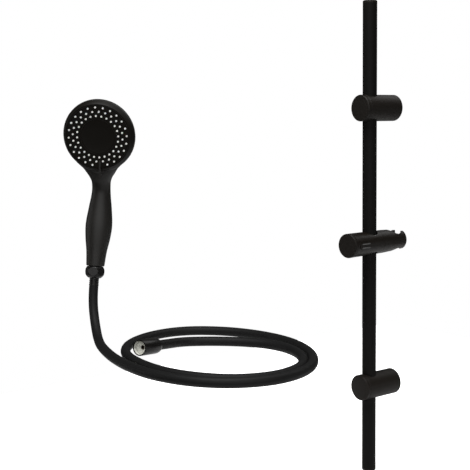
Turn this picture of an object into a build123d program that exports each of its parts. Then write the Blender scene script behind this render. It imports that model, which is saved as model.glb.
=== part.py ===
from build123d import *
import os
from math import asin, cos, pi, radians, sin, tan

os.makedirs("parts", exist_ok=True)

# Shower rail set in millimetres. Z is up along the rail, Y points into the wall, and the origin lies
# on the wall plane, midway between the two screw holes.

# Rail
RAIL_D = 20.0
RAIL_WALL = 1.5
RAIL_TOP = 348.0
RAIL_BOTTOM = -326.0
RAIL_TO_WALL = 47.0
RAIL_CAP_HEAD = 4.0
RAIL_CAP_SPIGOT = 12.0
RAIL_CAP_ROUND = 2.0

# Wall posts
SCREW_SPACING = 400.0
POST_D = 37.0
POST_FRONT = 19.0
POST_CAP = 6.0
POST_ROUND = 1.5
POST_SHELL = 3.0
POST_POCKET = 22.0
POST_BORE = 24.0
SCREW_D = 5.2
SCREW_HEAD_D = 10.0
SCREW_BOSS_D = 14.0
SCREW_WEB = 30.0
CAP_SPIGOT = 2.4
CAP_CHAMFER = 1.2
SEAM_CHAMFER = 0.4
PAD_D = 12.0
PAD_DEPTH = 2.0

# Slider, along its own axis: the rail passes at zero, the holder lies on the plus side
SLIDER_Z = 9.0
SLIDER_TURN = 5.0
SLIDER_FRONT = 46.4
SLIDER_FRONT_R = 17.1
SLIDER_SEAM = 14.5
SLIDER_SEAM_R = 16.6
SLIDER_CAP = 4.5
SLIDER_CAP_CHAMFER = 0.8
BUSH_WALL = 1.6
BUSH_FROM = 8.4
BUSH_TO = 12.0
STUB_D = 18.0
STUB_LENGTH = 16.0
STUB_GROOVE = 1.4
STUB_GROOVE_Z = 6.0

# Brake and release button
SHOE_D = 14.0
SHOE_LENGTH = 25.0
SHOE_HOLLOW = 3.5
SHOE_WINDOW_HALF = 4.6
SHOE_NOSE = 8.5
BUTTON_Z = -26.5
BUTTON_LENGTH = 22.0
BUTTON_HEIGHT = 10.0
BUTTON_PROUD = 0.6
BUTTON_DEPTH = 5.0
BUTTON_TRAVEL = 3.0
BUTTON_RIB = 0.7
BUTTON_RIB_WIDTH = 1.6
BUTTON_RIB_PITCH = 5.4
BUTTON_RIB_COUNT = 2
WEDGE_RATIO = 0.5
WEDGE_HALF = 4.2
WEDGE_TIP = 2.2
WEDGE_TIP_THICK = 2.2
SPRING_R = 4.6
SPRING_WIRE = 1.1
SPRING_TURNS = 5

# Holder
HOLDER_END = 65.5
HOLDER_END_R = 14.9
HOLDER_SHOULDER = 26.0
HOLDER_SHOULDER_R = 16.5
HOLDER_CHAMFER = 0.8
CONE_Z = 50.0
CONE_TOP_D = 24.4
CONE_BOTTOM_D = 20.4
HOSE_SLOT = 15.0
HOLDER_WEB = 3.0
HOLDER_SCREW_D = 4.0
HOLDER_SCREW_HEAD_D = 9.0
HOLDER_SCREW_HEAD = 2.4
HOLDER_SCREW_LENGTH = 16.0

# Handset: bottom of the handle, turn to the room, lean back and lean sideways
HANDSET_AT = (-309.5, -324.1, -32.1)
HANDSET_TURN = 50.5
HANDSET_LEAN = -9.25
HANDSET_SIDE = 4.3
FACE_UP = 190.7
FACE_FORWARD = 52.9
FACE_TILT = 19.4
FACE_TURN = 5.0
NECK_RISE = 78.7
# Handle sections: share of the handle's length, forward of the axis, width, depth
HANDLE_SECTIONS = (
    (0.0, 0.0, 27.4, 27.4),
    (0.205, -1.0, 31.4, 30.5),
    (0.384, -2.5, 37.8, 35.5),
    (0.571, -3.5, 40.6, 37.6),
    (0.804, -4.0, 35.0, 33.0),
    (1.0, -2.5, 29.0, 28.0),
)
# Neck sections: below the face's edge, behind the face, width, depth
NECK_SECTIONS = (
    (28.0, 26.0, 29.0, 27.0),
    (19.0, 23.0, 35.0, 26.5),
    (10.0, 20.0, 46.0, 25.0),
    (2.0, 16.5, 57.0, 21.5),
    (-5.0, 13.5, 68.0, 16.0),
    (-12.0, 12.5, 74.0, 12.0),
)
FACE_R = 47.0
FACE_THICK = 5.0
HEAD_RIM = 2.0
HEAD_EDGE_OUT = 10.0
HEAD_EDGE = -14.0
HEAD_EDGE_ROUND = 8.0
HEAD_BACK = -32.0
# Nozzle rings: radius as a share of the face's radius, first angle, span, and the count in each
NOZZLE_RINGS = ((0.66, 0.0, 360.0), (0.796, 7.5, 360.0), (0.928, 285.0, 345.0))
NOZZLE_COUNTS = (24, 24, 23)
NOZZLE_D = 3.2
NOZZLE_PROUD = 1.0
MAT_THICK = 2.0
INSERT_SHARE = 0.553
INSERT_THICK = 2.5
FIN_REACH = 11.0
FIN_THICK = 2.4
FIN_PROUD = 4.5
FIN_RISE = 0.8
SELECTOR_SHARE = 0.468
SELECTOR_THICK = 4.0
HUB_R = 7.0
HUB_LENGTH = 7.0
HUB_SEAL = 1.5
DISTRIBUTOR_EDGE = 5.0
DISTRIBUTOR_THICK = 5.0
PORT_D = 5.0
PORT_RING_R = 14.0
PORT_COUNT = 6
FACE_SCREW_D = 4.0
FACE_SCREW_HEAD_D = 8.0
FACE_SCREW_HEAD = 1.8
CHAMBER_EDGE = 11.0
CHAMBER_DEPTH = 3.0
WATERWAY_D = 8.0
WATERWAY_BEND = 24.4
NECK_WAY_D = 7.0
NECK_WAY_RUN = 60.0
INLET_D = 20.2
INLET_LENGTH = 10.5

# Hose and its ends
HOSE_D = 14.0
NUT_LENGTH = 18.0
NUT_R = 14.8
NUT_FLAT = 13.0
NUT_TOP_R = 11.6
NUT_BOTTOM_R = 9.0
WASHER_THICK = 2.0
WASHER_BORE_D = 8.5
TAIL_FLANGE_R = 9.1
TAIL_FLANGE = 2.5
TAIL_STEM_R = 5.8
FERRULE_R = 7.3
FERRULE_LENGTH = 11.5
END_LENGTH = 43.0
END_R = 11.2
END_NECK_R = 8.2
END_SHOULDER = 9.0
END_CHAMFER = 0.6
LINER_DEPTH = 6.5
LINER_THREAD_R = 9.35
LINER_R = 10.4
END_SLEEVE_R = 7.2
END_FLANGE_R = 9.5
END_WASHER_BORE_D = 6.0

# Hose route below the handset, to where the hose enters the free nut
HOSE_FIRST_RUN = 24.0
HOSE_ARC = 0.45
HOSE_ROUTE = (
    (-283.7, -340.4, -118.5),
    (-250.5, -352.5, -137.0),
    (-199.0, -369.2, -137.0),
    (-146.5, -381.3, -137.0),
    (-92.7, -386.0, -137.0),
    (-43.0, -382.0, -137.0),
    (11.0, -361.0, -137.0),
    (54.0, -320.0, -137.0),
    (73.0, -264.0, -137.0),
    (58.0, -207.0, -137.0),
    (17.0, -164.0, -137.0),
    (-35.0, -138.0, -137.0),
    (-92.0, -129.0, -137.0),
    (-150.0, -138.0, -137.0),
    (-202.0, -164.0, -137.0),
    (-242.0, -209.0, -137.0),
    (-246.0, -266.0, -137.0),
    (-217.0, -322.5, -137.0),
    (-168.4, -356.0, -137.0),
    (-111.2, -367.4, -137.0),
    (-56.0, -366.0, -137.0),
    (-3.0, -348.0, -137.0),
    (41.0, -313.0, -137.0),
    (59.0, -261.0, -137.0),
    (45.0, -210.0, -137.0),
    (8.0, -175.0, -137.0),
    (-38.3, -157.5, -137.0),
    (-83.7, -161.0, -137.0),
    (-121.8, -182.6, -137.0),
    (-152.5, -213.0, -137.0),
    (-173.5, -254.0, -135.5),
    (-156.9, -294.9, -130.2),
    (-148.3, -313.85, -127.5),
)

# Clearances
PRESS_GAP = 0.05
SLIDE_GAP = 0.08
FIT_GAP = 0.10
MOVE_GAP = 0.30


def placed(base, x=0.0, y=0.0, z=0.0, turn=(0, 0, 0)):
    """A plane set in another plane's own axes."""
    return Plane(base.location * Location((x, y, z), turn))


def half_section(base):
    """The plane in which a turned section is drawn: radius along X, height along the base's Z."""
    return placed(base, turn=(90, 0, 0))


def turning_axis(base):
    return Axis(base.origin, base.z_dir)


# Frames
RAIL = Plane(origin=(0, -RAIL_TO_WALL, 0))
SLIDER = Plane(
    origin=(0, -RAIL_TO_WALL, SLIDER_Z),
    x_dir=(-cos(radians(SLIDER_TURN)), -sin(radians(SLIDER_TURN)), 0),
    z_dir=(-sin(radians(SLIDER_TURN)), cos(radians(SLIDER_TURN)), 0),
)
HANDSET = Plane(
    Location(HANDSET_AT)
    * Location((0, 0, 0), (0, 0, HANDSET_TURN))
    * Location((0, 0, 0), (HANDSET_LEAN, 0, 0))
    * Location((0, 0, 0), (0, HANDSET_SIDE, 0))
)
HEAD = placed(HANDSET, 0, -FACE_FORWARD, FACE_UP, (90 + FACE_TILT, 0, 0))
# The spray face as it stands in the photograph, turned a little by its fin
FACE = placed(HEAD, turn=(0, 0, FACE_TURN))

# Rail tube with its two end caps
rail_r = RAIL_D / 2
rail_bore_r = rail_r - RAIL_WALL

with BuildPart() as rail_tube:
    with BuildSketch(RAIL.offset(RAIL_BOTTOM + RAIL_CAP_HEAD)):
        Circle(rail_r)
        Circle(rail_bore_r, mode=Mode.SUBTRACT)
    extrude(amount=RAIL_TOP - RAIL_BOTTOM - 2 * RAIL_CAP_HEAD)
rail_tube.part.label = "rail_tube"
export_step(rail_tube.part, "parts/rail_tube.step")

for cap_name, seat, inwards in (
    ("rail_top_cap", RAIL_TOP - RAIL_CAP_HEAD, -1),
    ("rail_bottom_cap", RAIL_BOTTOM + RAIL_CAP_HEAD, 1),
):
    with BuildPart() as rail_cap:
        with BuildSketch(RAIL.offset(seat)):
            Circle(rail_r)
        extrude(amount=-inwards * RAIL_CAP_HEAD)
        outer_edge = rail_cap.edges().filter_by(GeomType.CIRCLE).sort_by(Axis.Z)[0 if inwards > 0 else -1]
        fillet(outer_edge, radius=RAIL_CAP_ROUND)
        with BuildSketch(RAIL.offset(seat)):
            Circle(rail_bore_r - PRESS_GAP)
        extrude(amount=inwards * RAIL_CAP_SPIGOT)
    rail_cap.part.label = cap_name
    export_step(rail_cap.part, f"parts/{cap_name}.step")

# Wall posts: each frame lies on the wall, with Z out into the room and Y up
post_r = POST_D / 2
post_seam = RAIL_TO_WALL + POST_FRONT - POST_CAP
rail_hole_r = rail_r + FIT_GAP
pad_seat = post_seam + PAD_DEPTH

for level, height in (("upper", SCREW_SPACING / 2), ("lower", -SCREW_SPACING / 2)):
    post_frame = Plane(origin=(0, 0, height), x_dir=(1, 0, 0), z_dir=(0, -1, 0))
    rail_crossing = placed(post_frame, z=RAIL_TO_WALL, turn=(90, 0, 0))

    with BuildPart() as post:
        with BuildSketch(post_frame):
            Circle(post_r)
        extrude(amount=post_seam)
        rims = post.edges().filter_by(GeomType.CIRCLE).sort_by(Axis.Y)
        fillet(rims[-1], radius=POST_ROUND)
        chamfer(rims[0], length=SEAM_CHAMFER)
        with BuildSketch(post_frame):
            Circle(post_r - POST_SHELL)
            Circle(SCREW_BOSS_D / 2, mode=Mode.SUBTRACT)
        extrude(amount=POST_POCKET, mode=Mode.SUBTRACT)
        with BuildSketch(rail_crossing):
            Circle(rail_hole_r)
        extrude(amount=POST_D, both=True, mode=Mode.SUBTRACT)
        with BuildSketch(post_frame.offset(post_seam)):
            Circle(POST_BORE / 2)
        extrude(amount=-POST_FRONT + POST_CAP, mode=Mode.SUBTRACT)
        with BuildSketch(post_frame.offset(SCREW_WEB)):
            Circle(SCREW_HEAD_D / 2)
        extrude(amount=RAIL_TO_WALL - SCREW_WEB, mode=Mode.SUBTRACT)
        with BuildSketch(post_frame):
            Circle(SCREW_D / 2)
        extrude(amount=SCREW_WEB, mode=Mode.SUBTRACT)
    post.part.label = f"{level}_post"
    export_step(post.part, f"parts/{level}_post.step")

    with BuildPart() as post_cap:
        with BuildSketch(post_frame.offset(post_seam)):
            Circle(post_r)
        extrude(amount=POST_CAP)
        rims = post_cap.edges().filter_by(GeomType.CIRCLE).sort_by(Axis.Y)
        chamfer(rims[0], length=CAP_CHAMFER)
        chamfer(rims[-1], length=SEAM_CHAMFER)
        with BuildSketch(post_frame.offset(post_seam)):
            Circle(POST_BORE / 2 - FIT_GAP)
        extrude(amount=-CAP_SPIGOT)
        with BuildSketch(post_frame.offset(pad_seat)):
            Circle(PAD_D / 2 + FIT_GAP)
        extrude(amount=-PAD_DEPTH - CAP_SPIGOT, mode=Mode.SUBTRACT)
    post_cap.part.label = f"{level}_post_cap"
    export_step(post_cap.part, f"parts/{level}_post_cap.step")

    with BuildPart() as rail_pad:
        with BuildSketch(post_frame.offset(pad_seat)):
            Circle(PAD_D / 2)
        extrude(amount=-(pad_seat - RAIL_TO_WALL))
        with BuildSketch(rail_crossing):
            Circle(rail_r + PRESS_GAP)
        extrude(amount=POST_D, both=True, mode=Mode.SUBTRACT)
    rail_pad.part.label = f"{level}_rail_pad"
    export_step(rail_pad.part, f"parts/{level}_rail_pad.step")

# Slider body: turned outside, rail hole, front bore for the brake, side window, stub for the holder
slider_rail = placed(SLIDER, turn=(90, 0, 0))
bush_r = rail_r + SLIDE_GAP + BUSH_WALL
slider_cap_seam = -SLIDER_FRONT + SLIDER_CAP
slider_taper = (SLIDER_SEAM_R - SLIDER_FRONT_R) / (SLIDER_SEAM + SLIDER_FRONT)
slider_cap_seam_r = SLIDER_FRONT_R + slider_taper * SLIDER_CAP
shoe_bore_r = SHOE_D / 2 + SLIDE_GAP
stub_r = STUB_D / 2
stub_end = SLIDER_SEAM + STUB_LENGTH
groove_z = SLIDER_SEAM + STUB_GROOVE_Z
screw_r = HOLDER_SCREW_D / 2
button_plane = placed(SLIDER, z=BUTTON_Z, turn=(0, -90, 0))

with BuildPart() as slider_body:
    with BuildSketch(half_section(SLIDER)):
        with BuildLine():
            Polyline(
                (0, slider_cap_seam),
                (slider_cap_seam_r, slider_cap_seam),
                (SLIDER_SEAM_R, SLIDER_SEAM),
                (stub_r, SLIDER_SEAM),
                (stub_r, groove_z),
                (stub_r - STUB_GROOVE, groove_z),
                (stub_r - STUB_GROOVE, groove_z + STUB_GROOVE),
                (stub_r, groove_z + STUB_GROOVE),
                (stub_r, stub_end),
                (0, stub_end),
                close=True,
            )
        make_face()
    revolve(axis=turning_axis(SLIDER))
    with BuildSketch(slider_rail):
        Circle(rail_r + MOVE_GAP)
    extrude(amount=2 * SLIDER_FRONT_R, both=True, mode=Mode.SUBTRACT)
    for side in (1, -1):
        with BuildSketch(slider_rail.offset(side * (BUSH_FROM - PRESS_GAP))):
            Circle(bush_r + SLIDE_GAP)
        extrude(amount=side * SLIDER_FRONT_R, mode=Mode.SUBTRACT)
    with BuildSketch(SLIDER.offset(slider_cap_seam)):
        Circle(shoe_bore_r)
    extrude(amount=-slider_cap_seam, mode=Mode.SUBTRACT)
    with BuildSketch(button_plane):
        SlotOverall(BUTTON_LENGTH + 2 * MOVE_GAP, BUTTON_HEIGHT + 2 * MOVE_GAP)
    extrude(amount=2 * SLIDER_FRONT_R, mode=Mode.SUBTRACT)
    with BuildSketch(SLIDER.offset(stub_end)):
        Circle(screw_r + FIT_GAP)
    extrude(amount=-HOLDER_SCREW_LENGTH, mode=Mode.SUBTRACT)
slider_body.part.label = "slider_body"
export_step(slider_body.part, "parts/slider_body.step")

cap_spigot = SLIDER_CAP
with BuildPart() as slider_end_cap:
    with BuildSketch(half_section(SLIDER)):
        with BuildLine():
            Polyline(
                (0, -SLIDER_FRONT),
                (SLIDER_FRONT_R - SLIDER_CAP_CHAMFER, -SLIDER_FRONT),
                (SLIDER_FRONT_R, -SLIDER_FRONT + SLIDER_CAP_CHAMFER),
                (slider_cap_seam_r, slider_cap_seam),
                (shoe_bore_r - FIT_GAP, slider_cap_seam),
                (shoe_bore_r - FIT_GAP, slider_cap_seam + cap_spigot),
                (SPRING_R + SPRING_WIRE, slider_cap_seam + cap_spigot),
                (SPRING_R + SPRING_WIRE, slider_cap_seam),
                (0, slider_cap_seam),
                close=True,
            )
        make_face()
    revolve(axis=turning_axis(SLIDER))
slider_end_cap.part.label = "slider_end_cap"
export_step(slider_end_cap.part, "parts/slider_end_cap.step")

# Glide bushes: a plain ring in each mouth of the rail hole, on which the body also turns
for bush_name, side in (("upper_glide_bush", -1), ("lower_glide_bush", 1)):
    with BuildPart() as glide_bush:
        with BuildSketch(slider_rail.offset(side * BUSH_FROM)):
            Circle(bush_r)
            Circle(rail_r + SLIDE_GAP, mode=Mode.SUBTRACT)
        extrude(amount=side * (BUSH_TO - BUSH_FROM))
    glide_bush.part.label = bush_name
    export_step(glide_bush.part, f"parts/{bush_name}.step")

# Brake shoe: hollow-ended on the rail, with a window whose slanted wall the button's wedge draws back
shoe_rear = -rail_r - SHOE_LENGTH
shoe_travel = BUTTON_TRAVEL * WEDGE_RATIO
window_reach = SHOE_D / 2 + MOVE_GAP
window_back = -rail_r - SHOE_NOSE
wedge_back = window_back - shoe_travel - MOVE_GAP
wedge_front_at_tip = wedge_back - WEDGE_TIP_THICK
wedge_root = -SLIDER_FRONT_R - BUTTON_PROUD + BUTTON_DEPTH
wedge_front_at_root = wedge_front_at_tip - WEDGE_RATIO * (WEDGE_TIP - wedge_root)


def window_front(x):
    """The slanted wall of the shoe's window, clear of the wedge that passes along it."""
    return wedge_front_at_tip - WEDGE_RATIO * (WEDGE_TIP - x) - MOVE_GAP


with BuildPart() as brake_shoe:
    with BuildSketch(SLIDER.offset(shoe_rear)):
        Circle(SHOE_D / 2)
    extrude(amount=SHOE_LENGTH + rail_r)
    with BuildSketch(slider_rail):
        Circle(rail_r + PRESS_GAP)
    extrude(amount=SHOE_D, both=True, mode=Mode.SUBTRACT)
    with BuildSketch(slider_rail):
        with BuildLine():
            Polyline(
                (window_reach, window_back),
                (-window_reach, window_back),
                (-window_reach, window_front(-window_reach)),
                (window_reach, window_front(window_reach)),
                close=True,
            )
        make_face()
    extrude(amount=SHOE_WINDOW_HALF, both=True, mode=Mode.SUBTRACT)
    with BuildSketch(SLIDER.offset(shoe_rear)):
        Circle(SPRING_R + SPRING_WIRE)
    extrude(amount=SHOE_HOLLOW, mode=Mode.SUBTRACT)
brake_shoe.part.label = "brake_shoe"
export_step(brake_shoe.part, "parts/brake_shoe.step")

# Release button: oblong pad proud of the round side, raised ribs, and the wedge that reaches the shoe
with BuildPart() as release_button:
    with BuildSketch(SLIDER.offset(-SLIDER_FRONT)):
        Circle(SLIDER_FRONT_R + BUTTON_PROUD)
    extrude(amount=SLIDER_FRONT)
    with BuildSketch(button_plane.offset(-wedge_root)):
        SlotOverall(BUTTON_LENGTH, BUTTON_HEIGHT)
    extrude(amount=BUTTON_DEPTH, mode=Mode.INTERSECT)
    with BuildSketch(button_plane.offset(-wedge_root)):
        with GridLocations(0, BUTTON_RIB_PITCH, 1, BUTTON_RIB_COUNT):
            SlotOverall(BUTTON_LENGTH - BUTTON_HEIGHT / 2, BUTTON_RIB_WIDTH)
    extrude(amount=BUTTON_DEPTH + BUTTON_RIB)
    with BuildSketch(slider_rail):
        with BuildLine():
            Polyline(
                (wedge_root, wedge_back),
                (WEDGE_TIP, wedge_back),
                (WEDGE_TIP, wedge_front_at_tip),
                (wedge_root, wedge_front_at_root),
                close=True,
            )
        make_face()
    extrude(amount=WEDGE_HALF, both=True)
release_button.part.label = "release_button"
export_step(release_button.part, "parts/release_button.step")

# Brake spring at its pressed length, from the end cap into the shoe's hollow rear
spring_from = slider_cap_seam + SPRING_WIRE / 2
spring_to = shoe_rear + SHOE_HOLLOW - shoe_travel - FIT_GAP - SPRING_WIRE / 2
spring_height = spring_to - spring_from

with BuildPart() as brake_spring:
    with BuildLine() as coil:
        Helix(
            pitch=spring_height / SPRING_TURNS,
            height=spring_height,
            radius=SPRING_R,
            center=SLIDER.offset(spring_from).origin,
            direction=SLIDER.z_dir,
        )
    with BuildSketch(Plane(origin=coil.line @ 0, z_dir=coil.line % 0)):
        Circle(SPRING_WIRE / 2)
    sweep(path=coil.line)
brake_spring.part.label = "brake_spring"
export_step(brake_spring.part, "parts/brake_spring.step")

# Holder: tapered round cradle that turns on the stub, with a conical hole and a slot for the hose
holder_seam = SLIDER_SEAM + MOVE_GAP
web_from = stub_end + MOVE_GAP
web_to = web_from + HOLDER_WEB
cone_half = HOLDER_SHOULDER_R + MOVE_GAP

with BuildPart() as holder:
    with BuildSketch(half_section(SLIDER)):
        with BuildLine():
            Polyline(
                (0, holder_seam),
                (SLIDER_SEAM_R, holder_seam),
                (HOLDER_SHOULDER_R, HOLDER_SHOULDER),
                (HOLDER_END_R, HOLDER_END - HOLDER_CHAMFER),
                (HOLDER_END_R - HOLDER_CHAMFER, HOLDER_END),
                (0, HOLDER_END),
                close=True,
            )
        make_face()
    revolve(axis=turning_axis(SLIDER))
    with BuildSketch(SLIDER.offset(holder_seam)):
        Circle(stub_r + SLIDE_GAP)
    extrude(amount=web_from - holder_seam, mode=Mode.SUBTRACT)
    with BuildSketch(SLIDER.offset(web_from)):
        Circle(screw_r + MOVE_GAP)
    extrude(amount=HOLDER_WEB, mode=Mode.SUBTRACT)
    with BuildSketch(SLIDER.offset(web_to)):
        Circle(HOLDER_SCREW_HEAD_D / 2 + MOVE_GAP)
    extrude(amount=CONE_Z - web_to, mode=Mode.SUBTRACT)
    with BuildSketch(placed(SLIDER, y=-cone_half, z=CONE_Z, turn=(90, 0, 0))):
        Circle(CONE_BOTTOM_D / 2)
    with BuildSketch(placed(SLIDER, y=cone_half, z=CONE_Z, turn=(90, 0, 0))):
        Circle(CONE_TOP_D / 2)
    loft(mode=Mode.SUBTRACT)
    with BuildSketch(placed(SLIDER, z=(CONE_Z + HOLDER_END) / 2 + MOVE_GAP, turn=(90, 0, 0))):
        Rectangle(HOSE_SLOT, HOLDER_END - CONE_Z + 2 * MOVE_GAP)
    extrude(amount=cone_half, both=True, mode=Mode.SUBTRACT)
holder.part.label = "holder"
export_step(holder.part, "parts/holder.step")

screw_seat = web_to + FIT_GAP
with BuildPart() as holder_screw:
    with BuildSketch(SLIDER.offset(screw_seat)):
        Circle(HOLDER_SCREW_HEAD_D / 2)
    extrude(amount=HOLDER_SCREW_HEAD)
    with BuildSketch(SLIDER.offset(screw_seat)):
        Circle(screw_r)
    extrude(amount=-HOLDER_SCREW_LENGTH)
holder_screw.part.label = "holder_screw"
export_step(holder_screw.part, "parts/holder_screw.step")

ring_section_r = STUB_GROOVE / 2 - PRESS_GAP
with BuildPart() as holder_ring:
    with BuildSketch(half_section(SLIDER)):
        with Locations((stub_r - STUB_GROOVE / 2, groove_z + STUB_GROOVE / 2)):
            Circle(ring_section_r)
    revolve(axis=turning_axis(SLIDER))
holder_ring.part.label = "holder_ring"
export_step(holder_ring.part, "parts/holder_ring.step")

# Handset shell: lofted handle and neck, domed head, open front for the spray pack, waterway and inlet
pack_depth = FACE_THICK + MAT_THICK + SELECTOR_THICK + MOVE_GAP
handle_length = FACE_UP - NECK_RISE
face_hole_r = FACE_R + MOVE_GAP
distributor_r = FACE_R - DISTRIBUTOR_EDGE
head_edge_r = FACE_R + HEAD_EDGE_OUT
dome_depth = HEAD_EDGE - HEAD_BACK
dome_r = (head_edge_r**2 + dome_depth**2) / (2 * dome_depth)
dome_half = asin(head_edge_r / dome_r) / 2
dome_middle = (dome_r * sin(dome_half), HEAD_BACK + dome_r * (1 - cos(dome_half)))

with BuildPart() as handset_shell:
    for share, forward, width, depth in HANDLE_SECTIONS:
        with BuildSketch(placed(HANDSET, 0, -forward, share * handle_length)):
            Ellipse(width / 2, depth / 2)
    for below, behind, width, depth in NECK_SECTIONS:
        with BuildSketch(placed(HEAD, 0, -FACE_R - below, -behind, (-90, 0, 0))):
            Ellipse(width / 2, depth / 2)
    loft()
    with BuildSketch(half_section(HEAD)) as head_section:
        with BuildLine():
            Polyline((0, HEAD_BACK), (0, 0), (FACE_R + HEAD_RIM, 0), (head_edge_r, HEAD_EDGE))
            ThreePointArc((head_edge_r, HEAD_EDGE), dome_middle, (0, HEAD_BACK))
        make_face()
        fillet(head_section.vertices().sort_by(Axis.X)[-1], HEAD_EDGE_ROUND)
    revolve(axis=turning_axis(HEAD))
    with BuildSketch(HANDSET):
        Circle(INLET_D / 2)
    extrude(amount=-INLET_LENGTH)
    with BuildSketch(HEAD):
        Circle(face_hole_r)
    extrude(amount=-pack_depth, mode=Mode.SUBTRACT)
    with BuildSketch(HEAD.offset(-pack_depth)):
        Circle(distributor_r + FIT_GAP)
    extrude(amount=-DISTRIBUTOR_THICK, mode=Mode.SUBTRACT)
    with BuildSketch(HEAD.offset(-pack_depth - DISTRIBUTOR_THICK)):
        Circle(FACE_R - CHAMBER_EDGE)
    extrude(amount=-CHAMBER_DEPTH, mode=Mode.SUBTRACT)
    with BuildSketch(HANDSET.offset(-INLET_LENGTH)):
        Circle(WATERWAY_D / 2)
    extrude(amount=INLET_LENGTH + handle_length, mode=Mode.SUBTRACT)
    with BuildSketch(placed(HANDSET, z=handle_length - WATERWAY_D / 2, turn=(WATERWAY_BEND, 0, 0))):
        Circle(NECK_WAY_D / 2)
    extrude(amount=NECK_WAY_RUN, mode=Mode.SUBTRACT)
handset_shell.part.label = "handset_shell"
export_step(handset_shell.part, "parts/handset_shell.step")

# Spray face with its nozzle holes, the seat of the centre insert and the selector fin
insert_r = FACE_R * INSERT_SHARE
screw_floor = INSERT_THICK + FACE_SCREW_HEAD
fin_plane = Plane(origin=FACE.origin, x_dir=FACE.y_dir, z_dir=FACE.x_dir)
fin_from = FACE_R - FIN_REACH
fin_to = FACE_R + FIN_REACH
fin_foot = FACE_R - SEAM_CHAMFER

with BuildPart() as spray_face:
    with BuildSketch(FACE.offset(-FACE_THICK)):
        Circle(FACE_R)
        for (share, start, span), count in zip(NOZZLE_RINGS, NOZZLE_COUNTS):
            with PolarLocations(share * FACE_R, count, start_angle=start, angular_range=span):
                Circle(NOZZLE_D / 2, mode=Mode.SUBTRACT)
        Circle(FACE_SCREW_D / 2 + FIT_GAP, mode=Mode.SUBTRACT)
    extrude(amount=FACE_THICK)
    with BuildSketch(HEAD):
        Circle(insert_r + FIT_GAP)
    extrude(amount=-INSERT_THICK, mode=Mode.SUBTRACT)
    with BuildSketch(HEAD.offset(-INSERT_THICK)):
        Circle(FACE_SCREW_HEAD_D / 2 + FIT_GAP)
    extrude(amount=-FACE_SCREW_HEAD, mode=Mode.SUBTRACT)
    with BuildSketch(fin_plane):
        with BuildLine():
            Polyline(
                (-fin_from, -SEAM_CHAMFER),
                (-fin_from, 0),
                (-fin_foot, FIN_PROUD * FIN_RISE),
                (-fin_to, FIN_PROUD),
                (-fin_to, MOVE_GAP),
                (-fin_foot, MOVE_GAP),
                (-fin_foot, -SEAM_CHAMFER),
                close=True,
            )
        make_face()
    extrude(amount=FIN_THICK / 2, both=True)
spray_face.part.label = "spray_face"
export_step(spray_face.part, "parts/spray_face.step")

with BuildPart() as nozzle_mat:
    with BuildSketch(HEAD.offset(-FACE_THICK - MAT_THICK)):
        Circle(FACE_R - MAT_THICK)
        Circle(FACE_SCREW_D / 2 + FIT_GAP, mode=Mode.SUBTRACT)
    extrude(amount=MAT_THICK)
    with BuildSketch(FACE.offset(-FACE_THICK)):
        for (share, start, span), count in zip(NOZZLE_RINGS, NOZZLE_COUNTS):
            with PolarLocations(share * FACE_R, count, start_angle=start, angular_range=span):
                Circle(NOZZLE_D / 2 - FIT_GAP)
    extrude(amount=FACE_THICK + NOZZLE_PROUD)
nozzle_mat.part.label = "nozzle_mat"
export_step(nozzle_mat.part, "parts/nozzle_mat.step")

with BuildPart() as centre_insert:
    with BuildSketch(HEAD.offset(-INSERT_THICK)):
        Circle(insert_r)
    extrude(amount=INSERT_THICK)
centre_insert.part.label = "centre_insert"
export_step(centre_insert.part, "parts/centre_insert.step")

# Selector behind the face: disc, hub through the distributor, seal and screw
selector_front = -FACE_THICK - MAT_THICK
selector_r = FACE_R * SELECTOR_SHARE
hub_from = selector_front - SELECTOR_THICK
seal_z = hub_from - MOVE_GAP - DISTRIBUTOR_THICK / 2

with BuildPart() as selector_disc:
    with BuildSketch(half_section(HEAD)):
        with BuildLine():
            Polyline(
                (FACE_SCREW_D / 2 + FIT_GAP, selector_front),
                (selector_r, selector_front),
                (selector_r, hub_from),
                (HUB_R, hub_from),
                (HUB_R, seal_z + HUB_SEAL / 2),
                (HUB_R - HUB_SEAL, seal_z + HUB_SEAL / 2),
                (HUB_R - HUB_SEAL, seal_z - HUB_SEAL / 2),
                (HUB_R, seal_z - HUB_SEAL / 2),
                (HUB_R, hub_from - HUB_LENGTH),
                (FACE_SCREW_D / 2 + FIT_GAP, hub_from - HUB_LENGTH),
                close=True,
            )
        make_face()
    revolve(axis=turning_axis(HEAD))
    with BuildSketch(HEAD.offset(hub_from)):
        with PolarLocations(PORT_RING_R, PORT_COUNT // 2):
            Circle(PORT_D / 2)
    extrude(amount=SELECTOR_THICK, mode=Mode.SUBTRACT)
selector_disc.part.label = "selector_disc"
export_step(selector_disc.part, "parts/selector_disc.step")

with BuildPart() as selector_seal:
    with BuildSketch(half_section(HEAD)):
        with Locations((HUB_R - HUB_SEAL / 2, seal_z)):
            Circle(HUB_SEAL / 2 - PRESS_GAP)
    revolve(axis=turning_axis(HEAD))
selector_seal.part.label = "selector_seal"
export_step(selector_seal.part, "parts/selector_seal.step")

with BuildPart() as distributor:
    with BuildSketch(HEAD.offset(-pack_depth)):
        Circle(distributor_r)
        Circle(HUB_R + SLIDE_GAP, mode=Mode.SUBTRACT)
        with PolarLocations(PORT_RING_R, PORT_COUNT):
            Circle(PORT_D / 2, mode=Mode.SUBTRACT)
    extrude(amount=-DISTRIBUTOR_THICK)
distributor.part.label = "distributor"
export_step(distributor.part, "parts/distributor.step")

with BuildPart() as face_screw:
    with BuildSketch(HEAD.offset(-screw_floor)):
        Circle(FACE_SCREW_HEAD_D / 2)
    extrude(amount=FACE_SCREW_HEAD)
    with BuildSketch(HEAD.offset(-screw_floor)):
        Circle(FACE_SCREW_D / 2)
    extrude(amount=hub_from - HUB_LENGTH + screw_floor)
face_screw.part.label = "face_screw"
export_step(face_screw.part, "parts/face_screw.step")

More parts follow.
